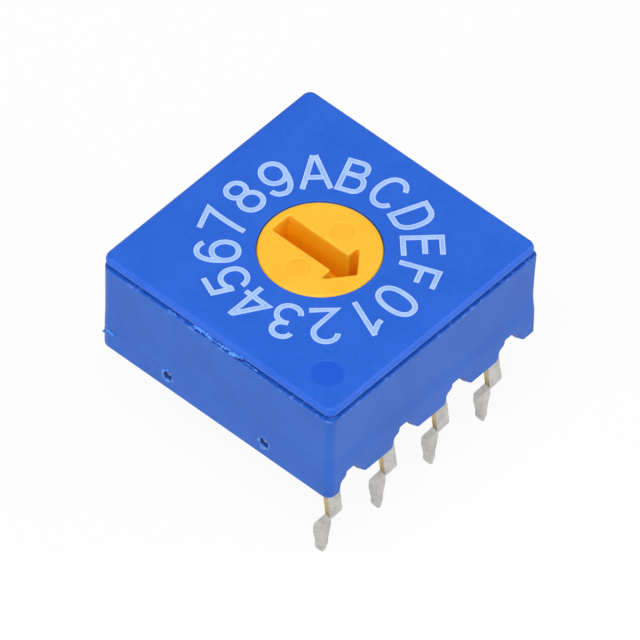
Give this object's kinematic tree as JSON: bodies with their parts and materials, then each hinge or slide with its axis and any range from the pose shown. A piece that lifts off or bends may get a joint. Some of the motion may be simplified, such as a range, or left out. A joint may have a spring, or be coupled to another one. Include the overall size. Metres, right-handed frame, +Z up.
{
  "type": "rotary coded switch",
  "caption": "Square rotary coded switch with a screwdriver-set arrow dial, lettered cover and kinked terminals for soldering through a circuit board.",
  "frame": {"origin": "centre of the seating plane, where the feet meet the circuit board, on the dial's axis", "axes": "+Z up along the dial's axis, X along the row of bit terminals, -Y towards that row and the dial's zero"},
  "size_m": [0.01, 0.01, 0.0086],
  "materials": {
    "housing": "blue moulded plastic, satin",
    "cover": "blue moulded plastic, satin",
    "ink": "pale blue-white print",
    "rotor": "yellow-orange moulded plastic, satin",
    "gold": "gold-plated copper alloy",
    "spring": "stainless spring strip",
    "tin": "dull tin plate, with bare copper alloy on the cut edges",
    "seal": "black rubber"
  },
  "bodies": {
    "case": {"housing": "housing", "cover": "cover", "dial_marks": "ink", "o_ring": "seal", "detent_spring_left": "spring", "detent_spring_right": "spring", "contact_spring_1": "gold", "contact_spring_2": "gold", "contact_spring_4": "gold", "contact_spring_8": "gold", "contact_spring_common": "gold", "terminal_1": "tin", "terminal_2": "tin", "terminal_4": "tin", "terminal_8": "tin", "terminal_common": "tin"},
    "dial": {"rotor": "rotor", "code_disc": "gold"}
  },
  "joints": [
    {"name": "rotor_turn", "type": "hinge", "parent": "case", "child": "dial", "pos_m": [0, 0, 0], "axis": [0, 0, 1], "continuous": true, "deforming": ["detent_spring_left", "detent_spring_right"]}
  ]
}
